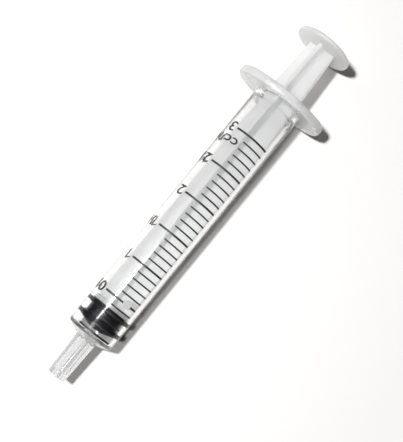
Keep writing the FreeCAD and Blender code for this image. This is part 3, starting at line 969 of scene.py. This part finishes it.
class SYRINGE_OT_scale_lines(bpy.types.Operator):
    """Print the lines of the scale"""
    bl_idname = "syringe.scale_lines"
    bl_label = "Scale lines"

    def execute(self, context):
        sizes = context.scene.print_sizes
        barrel = context.scene.barrel_sizes
        zero, pitch = scale_places(sizes)
        growth = tube_radius(barrel, 1.0) - tube_radius(barrel, 0.0)
        mesh = mesh_from_tree("scale_lines", scale_tree(), {
            "Lines": sizes.volume * sizes.divisions + 1,
            "Long every": sizes.long_every,
            "Zero": zero,
            "Pitch": pitch,
            "Radius": tube_radius(barrel, zero),
            "Growth": growth,
            "Ink": sizes.ink,
            "Bite": sizes.bite,
            "Low end": sizes.low,
            "Short width": sizes.short_line,
            "Short high end": sizes.short_high,
            "Long width": sizes.long_line,
            "Long high end": sizes.long_high,
            "Finish": black_ink(),
        })
        if not mesh.polygons:
            raise RuntimeError("the scale has no lines")
        finished("scale_lines", mesh, None, "barrel", "black_ink", "scale_print")
        return {"FINISHED"}


def text_mesh(words, height, letter_width, thickness, measure, boldness):
    """Solid letters of a given height, with their lower left corner at zero."""
    def solid(text):
        curve = bpy.data.curves.new("letters", "FONT")
        curve.body = text
        curve.extrude = 0.5
        curve.resolution_u = 4
        curve.offset = boldness
        holder = bpy.data.objects.new("letters", curve)
        bpy.context.scene.collection.objects.link(holder)
        graph = bpy.context.evaluated_depsgraph_get()
        mesh = bpy.data.meshes.new_from_object(holder.evaluated_get(graph))
        bpy.data.objects.remove(holder)
        return mesh

    sample = solid(measure)
    low_x, high_x = span_of(sample, 0)
    low_y, high_y = span_of(sample, 1)
    mesh = solid(words)
    start = span_of(mesh, 0)[0]
    mesh.transform(Matrix.Translation((-start, -low_y, 0.5)))
    wide, tall = letter_width / (high_x - low_x), height / (high_y - low_y)
    mesh.transform(Matrix.Diagonal((wide, tall, thickness, 1.0)))
    return mesh


def span_of(mesh, axis):
    """Lowest and highest coordinate of a mesh along an axis."""
    values = [vertex.co[axis] for vertex in mesh.vertices]
    return min(values), max(values)


def number_mesh(sizes, words):
    """Solid digits, all in the measure of the 2."""
    return text_mesh(words, sizes.number_height, sizes.number_width, sizes.ink + sizes.bite,
                     measure="2", boldness=sizes.boldness)


def one_mesh(sizes, tail):
    """A solid number 1 with a sloping flag, which the font's own lacks, and the letters after it."""
    right, top, stroke = sizes.one_width, sizes.number_height, sizes.one_stroke
    stem = right - stroke
    drop = top - sizes.one_flag
    corners = [(right, 0.0), (right, top), (stem, top), (0.0, drop), (0.0, drop - stroke),
               (stem, top - stroke), (stem, 0.0)]
    work = bmesh.new()
    low = [work.verts.new((x, y, 0.0)) for x, y in corners]
    high = [work.verts.new((x, y, sizes.ink + sizes.bite)) for x, y in corners]
    work.faces.new(reversed(low))
    work.faces.new(high)
    for i in range(len(corners)):
        work.faces.new((low[i - 1], low[i], high[i], high[i - 1]))
    if tail is not None:
        tail.transform(Matrix.Translation((right + stroke / 2, 0.0, 0.0)))
        work.from_mesh(tail)
    mesh = bpy.data.meshes.new("one")
    work.to_mesh(mesh)
    work.free()
    return mesh


def print_text(name, mesh, height, start, middle, barrel, sizes):
    """Wraps letters round the tube: they read across it, with their tops towards the tip."""
    work = bmesh.new()
    work.from_mesh(mesh)
    bmesh.ops.remove_doubles(work, verts=work.verts, dist=SAME_PLACE)
    far = max(vertex.co.x for vertex in work.verts)
    cut = LETTER_STEP
    while cut < far:
        bmesh.ops.bisect_plane(work, geom=work.verts[:] + work.edges[:] + work.faces[:],
                               plane_co=(cut, 0, 0), plane_no=(1, 0, 0))
        cut += LETTER_STEP
    for vertex in work.verts:
        read, tall, thick = vertex.co
        x = middle + height / 2 - tall
        surface = tube_radius(barrel, x)
        turn = start + read / surface
        radius = surface + thick - sizes.bite
        vertex.co = (x, radius * math.sin(turn), radius * math.cos(turn))
    bmesh.ops.recalc_face_normals(work, faces=work.faces)
    work.to_mesh(mesh)
    work.free()
    return finished(name, mesh, black_ink(), "barrel", "black_ink")


class SYRINGE_OT_scale_numbers(bpy.types.Operator):
    """Print the numbers and the unit of the scale"""
    bl_idname = "syringe.scale_numbers"
    bl_label = "Scale numbers"

    def execute(self, context):
        sizes = context.scene.print_sizes
        barrel = context.scene.barrel_sizes
        zero, pitch = scale_places(sizes)
        for halves in range(1, 2 * sizes.volume + 1):
            whole, half = str(halves // 2), "½" if halves % 2 else ""
            if whole == "1":
                mesh = one_mesh(sizes, number_mesh(sizes, half) if half else None)
            else:
                mesh = number_mesh(sizes, whole + half)
            middle = zero + halves * sizes.long_every * pitch
            print_text(f"scale_number_{halves}", mesh, sizes.number_height, sizes.number_start,
                       middle, barrel, sizes)
        unit = text_mesh("cc/mL", sizes.unit_height, sizes.unit_width, sizes.ink + sizes.bite,
                         measure="c", boldness=sizes.boldness)
        print_text("scale_unit", unit, sizes.unit_height, sizes.unit_start,
                   zero + sizes.unit_volume * sizes.divisions * pitch, barrel, sizes)
        return {"FINISHED"}


# The stage

FLOOR_HALF = 2.0
NEAR_CLIP = 0.01


def seen_through_plastic(tree):
    """1 where the camera looks through clear plastic, and 0 for light that bounces about."""
    rays = light_path(tree)
    first = maths(tree, "LESS_THAN", rays["Diffuse Depth"], FIRST_BOUNCE)
    return maths(tree, "MULTIPLY", rays["Is Transmission Ray"], first)


def floor_material():
    """A plain pale floor: white far from the syringe, and a little brighter through clear plastic."""
    stage = bpy.context.scene.stage_settings
    made, tree, output = new_material("pale_floor")
    paper = node(tree, "ShaderNodeBsdfDiffuse", Color=rgba(stage.floor))
    glow = node(tree, "ShaderNodeEmission", Color=(1.0, 1.0, 1.0, 1.0), Strength=1.0)
    distance = node(tree, "ShaderNodeVectorMath", Vector=object_place(tree))
    distance.operation = "LENGTH"
    far = node(tree, "ShaderNodeMapRange", Value=distance.outputs["Value"],
               From_Min=stage.plain_from, From_Max=stage.plain_to)
    through = seen_through_plastic(tree)
    seen = maths(tree, "MAXIMUM", light_path(tree)["Is Camera Ray"], through)
    background = maths(tree, "MULTIPLY", far.outputs["Result"], seen)
    near = maths(tree, "MULTIPLY", through, stage.clear_floor)
    white = maths(tree, "MAXIMUM", near, background)
    surface = mixed(tree, white, paper.outputs[0], glow.outputs[0])
    tree.links.new(surface, output.inputs["Surface"])
    return made


def room_light(sky):
    """Dim room light, with a white background for the camera."""
    world = bpy.data.worlds.new("pale_room")
    bpy.context.scene.world = world
    world.use_nodes = True
    tree = world.node_tree
    tree.nodes.clear()
    strength = maths(tree, "MAXIMUM", light_path(tree)["Is Camera Ray"], sky)
    light = node(tree, "ShaderNodeBackground", Color=(1.0, 1.0, 1.0, 1.0), Strength=strength)
    output = tree.nodes.new("ShaderNodeOutputWorld")
    tree.links.new(light.outputs[0], output.inputs["Surface"])


def add_lamp(name, kind, direction, power):
    """A lamp that shines from a direction, and whose light passes plastic only in a straight line."""
    lamp = bpy.data.lights.new(name, kind)
    lamp.energy = power
    lamp.cycles.use_multiple_importance_sampling = False
    holder = new_object(name, lamp)
    holder.rotation_mode = "QUATERNION"
    holder.rotation_quaternion = direction.to_track_quat("Z", "Y")
    return holder


def from_side(rise):
    """The direction of a lamp at that height over the floor, on the upper side."""
    return ACROSS * math.cos(rise) + UP * math.sin(rise)


def add_lamps(stage):
    """A round lamp close over the tip, a window and a soft fill from the same side."""
    middle = LYING @ Vector((stage.lamp_along, 0.0, 0.0))
    place = LYING @ Vector((stage.lamp_along, stage.lamp_across, stage.lamp_up))
    toward = place - middle
    key = add_lamp("key_lamp", "AREA", toward, stage.lamp_light * math.pi * toward.length_squared)
    key.location = place
    key.data.shape = "DISK"
    key.data.size = stage.lamp_width
    window = add_lamp("window", "SUN", from_side(stage.window_rise), stage.window_power)
    window.data.angle = stage.window_spread
    fill = add_lamp("side_fill", "SUN", from_side(stage.fill_rise), stage.fill_power)
    fill.data.angle = stage.fill_spread
    fill.visible_glossy = False
    fill.visible_transmission = False


def add_camera(stage):
    """The camera stands over the syringe, and its lens is shifted up like the photograph's."""
    eye = LYING @ Vector((stage.eye_along, 0.0, stage.eye_up))
    aim = LYING @ Vector((stage.aim_along, stage.aim_across, 0.0))
    back = (eye - aim).normalized()
    level = (ALONG - ALONG.dot(back) * back).normalized()
    right = Matrix.Rotation(-stage.roll, 3, back) @ level
    up = back.cross(right)
    data = bpy.data.cameras.new("camera")
    data.lens = stage.lens
    data.shift_y = stage.rise
    data.clip_start = NEAR_CLIP
    camera = new_object("camera", data)
    camera.rotation_mode = "QUATERNION"
    camera.rotation_quaternion = Matrix((right, up, back)).transposed().to_quaternion()
    camera.location = eye
    bpy.context.scene.camera = camera


class SYRINGE_OT_stage(bpy.types.Operator):
    """Set the pale floor, the lamps and the camera"""
    bl_idname = "syringe.stage"
    bl_label = "Stage"

    def execute(self, context):
        stage = context.scene.stage_settings
        half = FLOOR_HALF
        corners = [(-half, -half, 0), (half, -half, 0), (half, half, 0), (-half, half, 0)]
        mesh = bpy.data.meshes.new("floor")
        mesh.from_pydata(corners, [], [(0, 1, 2, 3)])
        mesh.materials.append(floor_material())
        new_object("floor", mesh)
        add_lamps(stage)
        room_light(stage.sky)
        add_camera(stage)
        context.scene.view_settings.view_transform = "Standard"
        return {"FINISHED"}


class SYRINGE_PT_pieces(bpy.types.Panel):
    """Lists the pieces and their sizes"""
    bl_label = "Syringe"
    bl_idname = "SYRINGE_PT_pieces"
    bl_space_type = "VIEW_3D"
    bl_region_type = "UI"
    bl_category = "Syringe"

    def draw(self, context):
        for operator in OPERATORS:
            self.layout.operator(operator.bl_idname)
        for name, group in GROUPS.items():
            box = self.layout.box()
            box.label(text=name.replace("_", " ").capitalize())
            for prop in group.__annotations__:
                box.prop(getattr(context.scene, name), prop)


OPERATORS = (SYRINGE_OT_barrel, SYRINGE_OT_stopper, SYRINGE_OT_plunger_rod,
             SYRINGE_OT_scale_lines, SYRINGE_OT_scale_numbers, SYRINGE_OT_stage)


def register():
    for item in (*GROUPS.values(), *OPERATORS, SYRINGE_PT_pieces):
        bpy.utils.register_class(item)
    for name, group in GROUPS.items():
        setattr(bpy.types.Scene, name, bpy.props.PointerProperty(type=group))


def unregister():
    for name in GROUPS:
        delattr(bpy.types.Scene, name)
    for item in (SYRINGE_PT_pieces, *reversed(OPERATORS), *reversed(GROUPS.values())):
        bpy.utils.unregister_class(item)


def main():
    register()
    bpy.ops.syringe.barrel()
    bpy.ops.syringe.stopper()
    bpy.ops.syringe.plunger_rod()
    bpy.ops.syringe.scale_lines()
    bpy.ops.syringe.scale_numbers()
    bpy.ops.syringe.stage()


if __name__ == "__main__":
    main()
